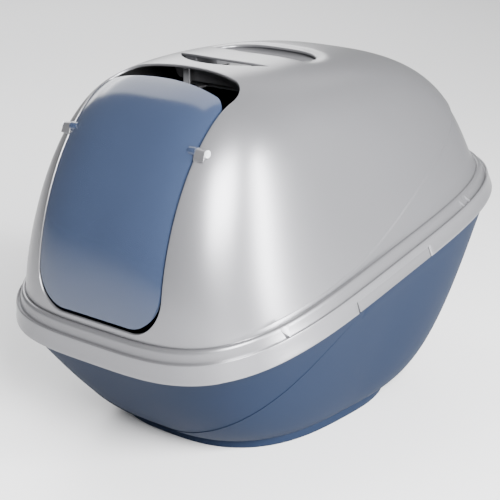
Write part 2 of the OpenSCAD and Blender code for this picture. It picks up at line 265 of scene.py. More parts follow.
@dataclass(frozen=True)
class HoodForm:
    """Sizes of rim and dome in millimetres, and the formulas of their surfaces in the hood's level frame.

    The falls are the three numbers of the side curve for width, front reach and rear reach.
    """

    rim_w: float = 396.0
    rim_l: float = 575.0
    tilt: float = math.radians(12.3)
    rim_z: float = 183.5
    dome_h: float = 249.0
    dome_w: float = 365.2
    dome_front: float = 270.0
    dome_rear: float = 266.5
    top_shift: float = 103.0
    dome_base: float = 29.7
    ledge_h: float = 33.0
    skirt_h: float = 20.0
    foot_drop: float = 1.4
    crease_step: float = 2.0
    crease_low: float = 0.035
    crease_rise: float = 0.39
    crease_from: float = 58.0
    side_fall: tuple[float, float, float] = (0.30, 5.04, 3.26)
    front_fall: tuple[float, float, float] = (-0.11, 1.4, 1.79)
    rear_fall: tuple[float, float, float] = (-0.015, 3.15, 1.26)
    rim_n: tuple[float, float] = (3.64, 3.84)
    low_n: tuple[float, float] = (3.83, 4.14)
    top_n: tuple[float, float] = (2.34, 2.49)

    def tip(self, p: Array) -> Array:
        """Turns points of the level frame, in millimetres, into the row frame, in metres.

        Args:
            p: array of x, v, w.

        Returns:
            Array of x, y, z.
        """
        c, s = math.cos(self.tilt), math.sin(self.tilt)
        x, v, w = p[..., 0], p[..., 1], p[..., 2]
        return np.stack([x, v * c - w * s, self.rim_z + v * s + w * c], axis=-1) * MM

    def dome(self, s: Array, phi: Array, d: Array | float) -> Array:
        """Dome: width, front and rear reach fall off by side curves of their own; the middle moves forward.

        Args:
            s: height fraction from the ledge to the top.
            phi: direction in radians, with the front at -pi / 2.
            d: distance by which the surface is drawn in.

        Returns:
            Array of x, v, w.
        """
        *sizes, n_front, n_rear = self.reach(s, d)
        a, front, rear = [np.maximum(size, 0.3) for size in sizes]
        level = self.dome_base + (self.dome_h - d - self.dome_base) * s
        return outline(a, front, rear, n_front, n_rear, -self.top_shift * s, level, phi)

    def reach(self, s: Array, d: Array | float) -> tuple[Array, Array, Array, Array, Array]:
        """Sizes of the dome's outline at one height.

        Args:
            s: height fraction from the ledge to the top.
            d: distance by which the dome is drawn in.

        Returns:
            Half width, front reach, rear reach, and the squareness in front and behind.
        """
        shift = self.top_shift
        n = [low + (top - low) * s for low, top in zip(self.low_n, self.top_n)]
        return ((self.dome_w / 2 - d) * fall(s, *self.side_fall),
                (self.dome_front - d - shift) * fall(s, *self.front_fall) + shift * (1 - s),
                (self.dome_rear - d + shift) * fall(s, *self.rear_fall) - shift * (1 - s), n[0], n[1])

    def level(self, p: Array, d: float = 0.0) -> Array:
        """Superellipse value of points against the dome drawn in by d: below one inside, one on the surface.

        Args:
            p: array of x, v, w.
            d: distance by which the dome is drawn in.

        Returns:
            The value, nine above the top of the dome.
        """
        s = np.clip((p[..., 2] - self.dome_base) / (self.dome_h - d - self.dome_base), 0, 0.99999)
        a, front, rear, n_front, n_rear = self.reach(s, d)
        ahead = p[..., 1] + self.top_shift * s < 0
        n = np.where(ahead, n_front, n_rear)
        far = np.maximum(np.where(ahead, front, rear), 0.1)
        along = np.abs(p[..., 1] + self.top_shift * s)
        value = (np.abs(p[..., 0]) / np.maximum(a, 0.1)) ** n + (along / far) ** n
        return np.where(p[..., 2] > self.dome_h - d, 9.0, value)

    def top(self, x: Array, v: Array) -> Array:
        """Level of the dome over a place, found by halving an interval.

        Args:
            x: place across.
            v: place along.

        Returns:
            The level.
        """
        low, high = np.full_like(x, 60.0), np.full_like(x, self.dome_h)
        for _ in range(30):
            middle = (low + high) / 2
            inside = self.level(np.stack([x, v, middle], axis=-1)) < 1
            low, high = np.where(inside, middle, low), np.where(inside, high, middle)
        return low

    def skirt(self, t: Array | float, v: Array) -> Array:
        """Place across the skirt: the superellipse of the wall fraction, solved for x.

        Args:
            t: wall fraction, nought at the rim and one at the foot of the dome.
            v: place along.

        Returns:
            Distance from the middle plane.
        """
        n = np.where(v < 0, self.rim_n[0] + (self.low_n[0] - self.rim_n[0]) * t,
                     self.rim_n[1] + (self.low_n[1] - self.rim_n[1]) * t)
        far = self.rim_l / 2 + (np.where(v < 0, self.dome_front, self.dome_rear) - self.rim_l / 2) * t
        return (self.rim_w / 2 + (self.dome_w - self.rim_w) / 2 * t) * (1 - (np.abs(v) / far) ** n) ** (1 / n)

    def ledge(self, t: Array | float, w: Array | float, phi: Array) -> Array:
        """Skirt and ledge: every size of the outline goes evenly from the rim to the foot of the dome.

        Args:
            t: wall fraction, nought at the rim and one at the foot of the dome.
            w: level.
            phi: direction in radians.

        Returns:
            Array of x, v, w.
        """
        a = self.rim_w / 2 + (self.dome_w - self.rim_w) / 2 * t
        front = self.rim_l / 2 + (self.dome_front - self.rim_l / 2) * t
        rear = self.rim_l / 2 + (self.dome_rear - self.rim_l / 2) * t
        n = [rim + (low - rim) * t for rim, low in zip(self.rim_n, self.low_n)]
        return outline(a, front, rear, n[0], n[1], 0.0, w, phi)

    def start(self) -> float:
        """Height fraction at which the dome leaves the ledge."""
        return (self.ledge_h - self.foot_drop - self.dome_base) / (self.dome_h - self.dome_base)

    def crease(self, phi: Array) -> Array:
        """Height fraction of the styling line: level in front, rising by t^2 (1.6 - 0.6 t^2) of the turn t."""
        t = np.clip((from_front(phi) - self.crease_from) / (180 - self.crease_from), 0, 1)
        return self.crease_low + self.crease_rise * t ** 2 * (1.6 - 0.6 * t ** 2)

    def crease_depth(self, phi: Array) -> Array:
        """Depth of the step behind the styling line, which fades out towards the front corners."""
        return self.crease_step * smooth((from_front(phi) - 30) / 35)

    def above(self, u: Array, phi: Array, d: float = 0.0) -> Array:
        """Dome above the styling line, with (1 - u)^e of the height left to the top.

        The power e makes the rows run at an even pace over the flat top. It goes by the square of the sine
        from the side to the front or the rear.

        Args:
            u: row parameter, nought at the styling line and one at the top.
            phi: direction in radians.
            d: distance by which the surface is drawn in.

        Returns:
            Array of x, v, w.
        """
        side, front, rear = 2.6, 1.79, 1.3
        e = side + (np.where(np.sin(phi) < 0, front, rear) - side) * np.sin(phi) ** 2
        low = self.crease(phi)
        return self.dome(low + (1 - low) * (1 - (1 - u) ** e), phi, d)


def curve_through(points: Sequence[Sequence[float]], count: int) -> Array:
    """Smooth row of points through the given ones: a cubic between each two, with slopes by their neighbours.

    Args:
        points: control points.
        count: points in the result.

    Returns:
        Array of count points.
    """
    p = np.asarray(points, dtype=float)
    step = np.linalg.norm(np.diff(p, axis=0), axis=1)
    at = np.concatenate([[0], np.cumsum(np.sqrt(step))])
    slope = np.gradient(p, at, axis=0)
    t = np.linspace(0, at[-1], count)
    k = np.clip(np.searchsorted(at, t, side="right") - 1, 0, len(p) - 2)
    h = (at[k + 1] - at[k])[:, None]
    f = (t - at[k])[:, None] / h
    return ((2 * f ** 3 - 3 * f ** 2 + 1) * p[k] + (f ** 3 - 2 * f ** 2 + f) * h * slope[k]
            + (3 * f ** 2 - 2 * f ** 3) * p[k + 1] + (f ** 3 - f ** 2) * h * slope[k + 1])


def make_object(name: str, points: Array, faces: Sequence[Array], material: bpy.types.Material, body: str,
                sharp: float = 40.0) -> bpy.types.Object:
    """Puts a mesh into the scene and hangs it on a CAD body.

    Args:
        name: object name.
        points: corners in the row frame, in metres.
        faces: arrays of quads and of triangles.
        material: finish.
        body: CAD body that carries it.
        sharp: angle in degrees above which an edge is drawn sharp.

    Returns:
        The new object.
    """
    used, index = np.unique(np.concatenate([f.ravel() for f in faces]), return_inverse=True)
    parts, at = [], 0
    for f in faces:
        parts += index[at:at + f.size].reshape(f.shape).tolist()
        at += f.size
    mesh = bpy.data.meshes.new(name)
    mesh.from_pydata(points[used].tolist(), [], parts)
    mesh.validate()
    mesh.shade_smooth()
    mesh.set_sharp_from_angle(angle=math.radians(sharp))
    mesh.materials.append(material)
    piece = bpy.data.objects.new(name, mesh)
    bpy.context.collection.objects.link(piece)
    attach(piece, body)
    return piece


def snap_to(u: Array, phi: Array, surface: Callable[[Array, Array], Array], gap: Callable[[Array], Array],
            step: tuple[float, float]) -> tuple[Array, Array, Array]:
    """Moves the grid points beside an opening onto its edge, by Newton steps over the surface.

    Args:
        u: row parameter of each grid point.
        phi: column parameter of each grid point.
        surface: point of the surface for the two parameters.
        gap: distance from the opening's edge, above nought where there is material.
        step: grid spacing of the two parameters.

    Returns:
        The moved parameters, and the distance of each point with nought on the edge.
    """
    value = gap(surface(u, phi))
    near = np.zeros(value.shape, bool)
    for axis in (0, 1):
        other = np.roll(value, -1, axis)
        cross = value * other < 0
        if axis == 0:
            cross[-1] = False
        mine = np.abs(value) <= np.abs(other)
        near |= cross & mine
        near |= np.roll(cross & ~mine, 1, axis)
    a, b = u[near], phi[near]
    for _ in range(7):
        here = gap(surface(a, b))
        da = (gap(surface(a + 0.02 * step[0], b)) - here) / 0.02
        db = (gap(surface(a, b + 0.02 * step[1])) - here) / 0.02
        pull = np.clip(here / np.maximum(da ** 2 + db ** 2, 1e-9), -5, 5)
        a = a - np.clip(pull * da, -0.8, 0.8) * step[0]
        b = b - np.clip(pull * db, -0.8, 0.8) * step[1]
    u, phi, value = u.copy(), phi.copy(), value.copy()
    u[near], phi[near], value[near] = a, b, 0.0
    return u, phi, value


def grid_faces(value: Array, wrap: bool) -> tuple[Array, Array]:
    """Faces of a grid, without the cells inside an opening.

    A cell with one corner inside keeps the triangle of its other three.

    Args:
        value: distance of each grid point, below nought inside the opening and nought on its edge.
        wrap: whether the last column joins the first.

    Returns:
        Quads and triangles as point numbers.
    """
    rows, cols = value.shape
    number = np.arange(rows * cols).reshape(rows, cols)
    right = np.roll(number, -1, 1)
    cell = np.stack([number[:-1], right[:-1], right[1:], number[1:]], axis=-1)
    if not wrap:
        cell = cell[:, :-1]
    cell = cell.reshape(-1, 4)
    v = value.ravel()[cell]
    inside = (v < 0).sum(1)
    quads = cell[(inside == 0) & (v.max(1) > 0)]
    mixed = (inside == 1) & (v.max(1) > 0)
    bad = np.argmax(v[mixed] < 0, axis=1)
    tris = np.stack([cell[mixed][np.arange(len(bad)), (bad + k) % 4] for k in (1, 2, 3)], axis=-1)
    return quads, tris


def walled(outer: Array, inner: Array, quads: Array, tris: Array,
           bulge: Array | float) -> tuple[Array, list[Array]]:
    """Closes an outer and an inner sheet into one wall with rounded edges.

    Along each open edge the wall is bridged by an arch in six steps: half the wall times sin^0.6 along the
    wall, and bulge times cos^0.6 out of the material.

    Args:
        outer: points of the outer sheet.
        inner: points of the inner sheet, one for each outer one.
        quads: quads of the outer sheet, facing out.
        tris: triangles of the outer sheet, facing out.
        bulge: how far the edge stands out of the material, for all points or for each.

    Returns:
        All points and the list of face arrays.
    """
    count, rows, square = len(outer), 6, 0.6
    edges = np.concatenate([cell[:, [k, (k + 1) % cell.shape[1]]] for cell in (quads, tris)
                            for k in range(cell.shape[1])])
    low, high = np.sort(edges, axis=1).astype(np.int64).T
    _, first, times = np.unique(low * count + high, return_index=True, return_counts=True)
    rim = edges[first[times == 1]]
    normal = outer - inner
    thick = np.linalg.norm(normal, axis=1, keepdims=True)
    normal = normal / np.maximum(thick, 1e-9)
    out = np.zeros_like(outer)
    push = np.cross(outer[rim[:, 1]] - outer[rim[:, 0]], normal[rim[:, 0]])
    push /= np.maximum(np.linalg.norm(push, axis=1, keepdims=True), 1e-12)
    np.add.at(out, rim[:, 0], push)
    np.add.at(out, rim[:, 1], push)
    out /= np.maximum(np.linalg.norm(out, axis=1, keepdims=True), 1e-12)
    middle = (outer + inner) / 2
    layers = [outer]
    for k in range(1, rows):
        angle = math.pi / 2 - math.pi * k / rows
        along = math.copysign(abs(math.sin(angle)) ** square, math.sin(angle))
        layers.append(middle + normal * thick / 2 * along + out * bulge * math.cos(angle) ** square)
    layers.append(inner)
    points = np.concatenate(layers)
    faces = [quads, tris, quads[:, ::-1] + rows * count, tris[:, ::-1] + rows * count]
    a, b = rim.T
    faces += [np.stack([b, a, a + count, b + count], axis=-1) + k * count for k in range(rows)]
    return points, [f for f in faces if len(f)]


def ring_faces(rows: int, cols: int, loop: bool = False) -> Array:
    """Quads of a band of rings, facing out where the columns run round to the left and the rows run up.

    Args:
        rows: number of rings.
        cols: points in each ring.
        loop: whether the last ring joins the first, as in a tube with a bore.

    Returns:
        The quads as point numbers.
    """
    number = np.arange(rows * cols).reshape(rows, cols)
    if loop:
        number = np.concatenate([number, number[:1]])
    right = np.roll(number, -1, 1)
    return np.stack([number[:-1], right[:-1], right[1:], number[1:]], axis=-1).reshape(-1, 4)


def looped(points: Array) -> tuple[Array, list[Array]]:
    """Joins the last ring of a band to its first, as in a tube: all points and the face arrays."""
    return points.reshape(-1, 3), [ring_faces(*points.shape[:2], loop=True)]


def capped(points: Array) -> tuple[Array, list[Array]]:
    """Closes the first and the last ring of a band with a fan round a middle point.

    Args:
        points: array of rings, rows by columns by three.

    Returns:
        All points and the face arrays.
    """
    rows, cols = points.shape[:2]
    ring = np.arange(cols)
    after = np.roll(ring, -1)
    low, high = np.full(cols, rows * cols), np.full(cols, rows * cols + 1)
    top = (rows - 1) * cols
    fans = [np.stack([low, after, ring], -1), np.stack([high, top + ring, top + after], -1)]
    middle = np.stack([points[0].mean(0), points[-1].mean(0)])
    return np.concatenate([points.reshape(-1, 3), middle]), [ring_faces(rows, cols), *fans]


@dataclass(frozen=True)
class Lug:
    """Boss along X round a bore: a circle whose outline runs out to a blunt tip, tapered, with rounded ends.

    The outline is the hull of the circle and of a small one at the tip: the circle's radius behind, then the
    line that touches both, then the small circle. Sizes are in millimetres.
    """

    at: tuple[float, float]
    radius: float
    bore: float
    start: float
    end: float
    tail: float = 0.0
    tip: float = 1.5
    heading: float = 0.0
    rounding: float = 1.0
    taper: float = 0.0
    chamfer: float = 0.1
    count: int = 72

    def outline(self, inset: float, angle: Array) -> Array:
        """Distance of the outline from the middle.

        Args:
            inset: distance by which the outline is drawn in.
            angle: angles from the tail.

        Returns:
            The distance for each angle.
        """
        big, small = self.radius - inset, max(self.tip - inset, 0.3)
        if self.tail <= 0:
            return np.full_like(angle, big)
        touch = math.acos((big - small) / self.tail)
        a = np.minimum(np.abs(angle), 2 * math.pi - np.abs(angle))
        line = big / np.maximum(np.cos(a - touch), 0.05)
        side = small ** 2 - (self.tail * np.sin(a)) ** 2
        blunt = np.where((side > 0) & (a < 1), self.tail * np.cos(a) + np.sqrt(np.maximum(side, 0)), 1e3)
        return np.where(a < touch, np.minimum(line, blunt), big)

    def rings(self, side: Side) -> Array:
        """Rings from the start over the rounded end and back through the bore.

        Args:
            side: left or right.

        Returns:
            Array of rings, to be closed as a loop.
        """
        turn = np.linspace(0, 2 * math.pi, self.count, endpoint=False)
        turn = turn - 0.35 * np.sin(turn) if self.tail > 0 else turn
        bend = np.linspace(0, math.pi / 2, 7)
        edge, inset = self.rounding * (1 - np.sin(bend)), self.rounding * (1 - np.cos(bend))
        x = np.concatenate([self.start + edge[::-1], self.end - edge])
        inset = np.concatenate([inset[::-1], inset]) + self.taper * (x - self.start)
        rings = [(place, self.outline(float(e), turn)) for place, e in zip(x, inset)]
        wide, cut = self.bore + self.chamfer, self.chamfer
        rings += [(place, np.full_like(turn, radius)) for place, radius in (
            (self.end, wide), (self.end - cut, self.bore), (self.start + cut, self.bore), (self.start, wide))]
        heading = turn + self.heading
        out = np.stack([np.stack([np.full_like(turn, side.value * place), self.at[0] + r * np.cos(heading),
                                  self.at[1] + r * np.sin(heading)], axis=-1) for place, r in rings])
        return out if side is Side.RIGHT else out[:, ::-1]


@dataclass
class Hood:
    """Silver-grey hood: skirt, stepped ledge and dome in one moulding, with its openings and pivot bosses.

    Sizes and places are in millimetres of the level frame. Sill, brow and pivot are v and w, the roll is depth
    and reach, and each web is the v of its middle and half its width.
    """

    form: HoodForm
    wall: float = 3.0
    columns: int = 360
    skirt_rows: int = 72
    dome_rows: int = 136
    dome_end: float = 0.985
    entry_half: float = 90.0
    sill: tuple[float, float] = (-270.0, 38.6)
    brow: tuple[float, float] = (-66.0, 245.0)
    sill_r: float = 40.0
    bow: float = 12.0
    crown_from: float = 120.0
    slot_half: float = 64.0
    slot_front: float = -49.0
    slot_ends: float = -16.0
    bar_front: float = -23.0
    bar_rear: float = 19.0
    bar_bow: float = 14.0
    dish_half: float = 70.0
    dish_rear: float = 83.0
    dish_power: float = 2 / 0.6
    roll: tuple[float, float] = (2.4, 13.0)
    pivot: tuple[float, float] = (-169.0, 204.5)
    clip_v: tuple[float, float] = (-81.4, 57.4)
    clip_top: float = 12.5
    clip_from: float = 150.0
    webs: tuple[tuple[float, float], ...] = ((-177.0, 6.5), (142.0, 5.0), (156.0, 5.0))

    def doorway(self, p: Array, inset: float = 0.0, foot: float = 0.0, drop: float = 0.0,
                top_r: float = 24.0) -> Array:
        """Distance outside the doorway in the plane that leans from sill to brow.

        It is a rectangle with round corners whose top edge bows up in the middle.

        Args:
            p: points of x, v, w.
            inset: distance by which the sides are drawn in.
            foot: how far the foot is raised.
            drop: how far the top is lowered.
            top_r: corner radius at the top.

        Returns:
            Distance, below nought inside.
        """
        dv, dw = self.brow[0] - self.sill[0], self.brow[1] - self.sill[1]
        length = math.hypot(dv, dw)
        half = self.entry_half - inset
        x = np.abs(p[..., 0])
        q = ((p[..., 1] - self.sill[0]) * dv + (p[..., 2] - self.sill[1]) * dw) / length
        low = round_corner(x - half, foot - q, self.sill_r)
        bowed = q + self.bow * np.minimum(x / (half - top_r * 0.4), 1.2) ** 2
        return np.maximum(low, round_corner(x - half, bowed - (length - drop), top_r))

    def bar_edge(self, u: Array) -> Array:
        """Front edge of the grip bar, bowed by the square of the share u of the finger slot's half width."""
        return self.bar_front + 0.62 * self.bar_bow * u ** 2

    def slot(self, p: Array) -> Array:
        """Distance outside the finger slot, a crescent between two bowed edges.

        Args:
            p: points of x, v, w.

        Returns:
            Distance, below nought inside.
        """
        u = np.clip(np.abs(p[..., 0]) / self.slot_half, 0, 1.3)
        front = self.slot_front + (self.slot_ends - self.slot_front) * u ** 2.2
        across = np.maximum(front - p[..., 1], p[..., 1] - self.bar_edge(u)) * 0.9
        return np.maximum(across, np.abs(p[..., 0]) - self.slot_half)

    def dish(self, p: Array) -> Array:
        """Distance outside the dish: bowed along the bar, and a superellipse behind it.

        Args:
            p: points of x, v, w.

        Returns:
            Distance, below nought inside.
        """
        u, base = p[..., 0] / self.dish_half, self.bar_rear + self.bar_bow
        front = self.bar_rear + self.bar_bow * u ** 2
        up = np.maximum(p[..., 1] - base, 0) / (self.dish_rear - base)
        round_back = (np.abs(u) ** self.dish_power + up ** self.dish_power) ** (1 / self.dish_power)
        mean_reach = 58.0
        outside = np.maximum(front - p[..., 1], (round_back - 1) * mean_reach)
        return np.where(p[..., 2] > self.crown_from, outside, FAR)

    def gap(self, p: Array) -> Array:
        """Distance outside all the openings of the dome: doorway in front, slot and dish in the crown."""
        door = np.where(p[..., 1] < 0, self.doorway(p), FAR)
        slot = np.where(p[..., 2] > self.crown_from, self.slot(p), FAR)
        return np.minimum(np.minimum(door, slot), self.dish(p))

    def profile(self) -> tuple[Array, Array]:
        """Section of skirt and ledge: lip, valley and bead.

        Returns:
            Outside and inside, row for row, as the wall fraction t and the level.
        """
        h, k = self.form.skirt_h, self.form.ledge_h
        outside = [[0, 0], [0.005, 1], [0.09, 7], [0.16, 12.5], [0.235, h - 0.9], [0.26, h + 0.3],
                   [0.3, h + 0.75], [0.34, h + 0.4], [0.38, h - 0.9], [0.43, h - 1.2], [0.49, h + 0.2],
                   [0.56, h + 3.2], [0.62, h + 6.3], [0.68, k - 3.6], [0.74, k - 2.0], [0.8, k - 1.2],
                   [0.87, k - 0.8], [0.94, k - 1.0], [0.975, k - 1.6], [1.0, k - 1.9], [1.02, k - 1.7]]
        inside = [[0.2, 0], [0.21, 1], [0.29, 7], [0.37, 12.5], [0.44, h - 2.5], [0.47, h - 1.9],
                  [0.52, h - 1.7], [0.58, h - 1.4], [0.66, h - 0.6], [0.76, h + 1], [0.86, h + 3.6],
                  [0.94, k - 6.4], [1.0, k - 5.2], [1.06, k - 4.2], [1.13, k - 3.0], [1.19, k - 2.0]]
        return curve_through(outside, self.skirt_rows), curve_through(inside, self.skirt_rows)

    def directions(self) -> Array:
        """Directions of the columns, one of them moved onto each edge of the two side clips.

        Returns:
            One row of directions.
        """
        phi = crowded(self.columns, 0.07, math.pi / self.columns)
        edges = [math.atan2(v, self.form.rim_w / 2) for v in self.clip_v]
        for angle in edges + [math.pi - a for a in edges]:
            angle %= 2 * math.pi
            phi[np.argmin(np.abs(phi - angle))] = angle
        return phi[None, :]

    def below(self, column: Array) -> tuple[Array, Array]:
        """Dome between the ledge and the styling line.

        It steps in over the first fifth of its rows, and its last four rows cut a groove under the line.

        Args:
            column: one row of directions.

        Returns:
            Outside and inside.
        """
        form = self.form
        k = np.linspace(0, 1, 12)[:, None]
        groove_at = np.array([0.018, 0.013, 0.0095, 0.006])[:, None]
        groove = np.array([0.82, 0.86, 1.3, 1.35])[:, None]
        start, line = form.start(), form.crease(column)
        s = np.concatenate([start + (line - 0.022 - start) * k, line - groove_at])
        depth = form.crease_depth(column) * np.concatenate([0.8 * smooth(k * 5), groove])
        return form.dome(s, column, depth), form.dome(s, column, depth + self.wall)

    def crown(self, column: Array) -> tuple[Array, Array, Array]:
        """Dome above the styling line, cut at its openings and rolled down round the back of the dish.

        The roll sinks by the square of the nearness to the dish, and fades out towards the bar.

        Args:
            column: one row of directions.

        Returns:
            Outside, inside, and the distance from the openings.
        """
        form, rows = self.form, self.dome_rows
        u = np.linspace(0, 1, rows)[:, None] * self.dome_end + 0 * column
        step = (self.dome_end / (rows - 1), 2 * math.pi / self.columns)
        u, phi, value = snap_to(u, column + 0 * u, form.above, self.gap, step)
        outer, inner = form.above(u, phi), form.above(u, phi, self.wall)
        behind = smooth((outer[..., 1] - self.bar_rear - 6) / 22)
        near = np.clip(1 - np.maximum(self.dish(outer), 0) / self.roll[1], 0, 1)
        sunk = ((inner - outer) / self.wall) * (self.roll[0] * near ** 2 * behind)[..., None]
        return outer + sunk, inner + sunk, value

    def shell(self) -> tuple[Array, list[Array]]:
        """Works out the whole hood: skirt and ledge, dome below and above the styling line, and clip notches.

        Returns:
            Points in the level frame and the face arrays.
        """
        column, section = self.directions(), self.profile()
        skirt = [self.form.ledge(rows[:, :1], rows[:, 1:], column) for rows in section]
        below, crown = self.below(column), self.crown(column)
        outer, inner = [np.concatenate([skirt[k], below[k], crown[k]]) for k in (0, 1)]
        keep = np.ones(outer.shape[:2])
        keep[-self.dome_rows:] = crown[2]
        quads, tris = grid_faces(keep, True)
        at_side, v = np.abs(outer[..., 0]) > self.clip_from, outer[..., 1]
        notch = at_side & (v > self.clip_v[0] - 0.6) & (v < self.clip_v[1] + 0.6)
        notch[np.argmin(np.abs(section[0][:, 1] - self.clip_top)) + 1:] = False
        quads = quads[~notch.ravel()[quads].all(1)]
        bulge = np.where(at_side & (outer[..., 2] < 15), 0.2, 0.9).reshape(-1, 1)
        return walled(outer.reshape(-1, 3), inner.reshape(-1, 3), quads, tris, bulge)

    def gusset(self, side: Side, middle: float, half: float) -> Array:
        """Web between bead and lip of the ledge: three-cornered rings, wide at the bead, pointed at the lip.

        Args:
            side: left or right.
            middle: v of the web.
            half: half its width at the bead.

        Returns:
            Array of rings.
        """
        h, k = self.form.skirt_h, self.form.ledge_h
        v = middle + np.array([-half, half, 0.0])
        t, w = np.array([0.73, 0.73, 0.3]), np.array([k - 2.4, k - 2.4, h + 1.1])
        corners = np.stack([side.value * self.form.skirt(t, v), v, w], axis=-1)
        inner = corners + (corners.mean(0) - corners) * np.array([0.16, 0.16, 0.0])
        foot, edge = corners * np.array([1, 1, 0]) + [0, 0, h - 1.5], corners - [0, 0, 0.5]
        rings = np.stack([foot, edge, inner])
        return rings[:, ::-1] if side is Side.LEFT else rings

    def dress(self, finish: bpy.types.Material) -> list[bpy.types.Object]:
        """Builds the hood with its bosses and webs, and hides the plain CAD one.

        Args:
            finish: silver-grey plastic.

        Returns:
            The pieces.
        """
        tip = self.form.tip
        points, faces = self.shell()
        made = [make_object("hood_moulding", tip(points), faces, finish, "hood", 38)]
        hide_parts("hood_shell")
        boss = Lug(self.pivot, radius=4.9, bore=2.52, start=88.0, end=101.0, tail=9.0, tip=1.2,
                   heading=math.radians(-143), rounding=1.2, taper=0.12)
        for side in Side:
            name = side.name.lower()
            points, faces = looped(boss.rings(side))
            made.append(make_object(f"pivot_boss_{name}", tip(points), faces, finish, "hood",
                                    50))
            for number, (middle, half) in enumerate(self.webs):
                points, faces = capped(self.gusset(side, middle, half))
                made.append(make_object(f"ledge_web_{name}_{number}", tip(points), faces, finish, "hood",
                                        30))
        return made


@dataclass
class Door:
    """Tinted swing door: a clear curved panel with rounded edges and an eye at each side."""

    hood: Hood
    thick: float = 2.6
    lift: float = 0.8
    gap: float = 2.6
    foot: float = 4.6
    drop: float = 27.0
    top_r: float = 14.0
    edge: float = 0.5
    eye_length: float = 8.0
    eye_r: float = 5.2
    axis: tuple[float, float] = (-100.0, 40.0)
    turn: tuple[float, float] = (188.0, 84.0)
    margin: float = 4.0
    grid: tuple[int, int] = (150, 150)

    def point(self, angle: Array, x: Array, d: float) -> Array:
        """Front of the dome seen from an axis inside it: the place where a ray from the axis leaves the dome.

        The distance along the ray is found by halving an interval.

        Args:
            angle: angle of the ray about the axis.
            x: place across.
            d: distance by which the dome is drawn in.

        Returns:
            Array of x, v, w.
        """
        def along(reach: Array) -> Array:
            """Point of each ray at the distance given from the axis."""
            return np.stack([x, self.axis[0] + reach * c, self.axis[1] + reach * s], axis=-1)

        near, far = np.zeros_like(x), np.full_like(x, 320.0)
        c, s = np.cos(angle), np.sin(angle)
        for _ in range(34):
            middle = (near + far) / 2
            inside = self.hood.form.level(along(middle), d) < 1
            near, far = np.where(inside, middle, near), np.where(inside, far, middle)
        return along(near)

    def outside(self, p: Array) -> Array:
        """Distance inside the edge of the door and outside the round openings for the eyes.

        Args:
            p: points of x, v, w.

        Returns:
            Distance, above nought where there is panel.
        """
        pivot, e = self.hood.pivot, self.edge
        body = -self.hood.doorway(p, self.gap + e, self.foot + e, self.drop + e, self.top_r)
        round_eye = np.hypot(p[..., 1] - pivot[0], p[..., 2] - pivot[1]) - self.eye_r + 0.9
        eye_from = self.hood.entry_half - self.gap - self.eye_length - 3.5
        return np.minimum(body, np.maximum(round_eye, eye_from - np.abs(p[..., 0])))

    def dress(self, finish: bpy.types.Material) -> list[bpy.types.Object]:
        """Builds the door and hides the plain CAD one.

        Args:
            finish: tinted clear plastic.

        Returns:
            The door panel and its two eyes.
        """
        tip, half, (rows, cols) = self.hood.form.tip, self.hood.entry_half - self.gap, self.grid
        low, high = [math.radians(angle) for angle in self.turn]
        wide = half + self.margin
        angle = np.linspace(low, high, rows)[:, None] + np.zeros((1, cols))
        x = np.linspace(-wide, wide, cols)[None, :] + np.zeros((rows, 1))
        step = ((high - low) / (rows - 1), 2 * wide / (cols - 1))
        angle, x, value = snap_to(angle, x, lambda a, b: self.point(a, b, self.lift), self.outside, step)
        outer, inner = [self.point(angle, x, d).reshape(-1, 3) for d in (self.lift, self.lift + self.thick)]
        quads, tris = grid_faces(value, False)
        points, faces = walled(outer, inner, quads[:, ::-1], tris[:, ::-1], self.edge)
        made = [make_object("door_panel", tip(points), faces, finish, "door", 50)]
        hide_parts("entry_door")
        eye = Lug(self.hood.pivot, self.eye_r, bore=2.56, start=half - self.eye_length,
                  end=self.hood.entry_half - 0.6, rounding=0.5)
        for side in Side:
            points, faces = looped(eye.rings(side))
            made.append(make_object(f"door_eye_{side.name.lower()}", tip(points), faces, finish, "door",
                                    50))
        return made


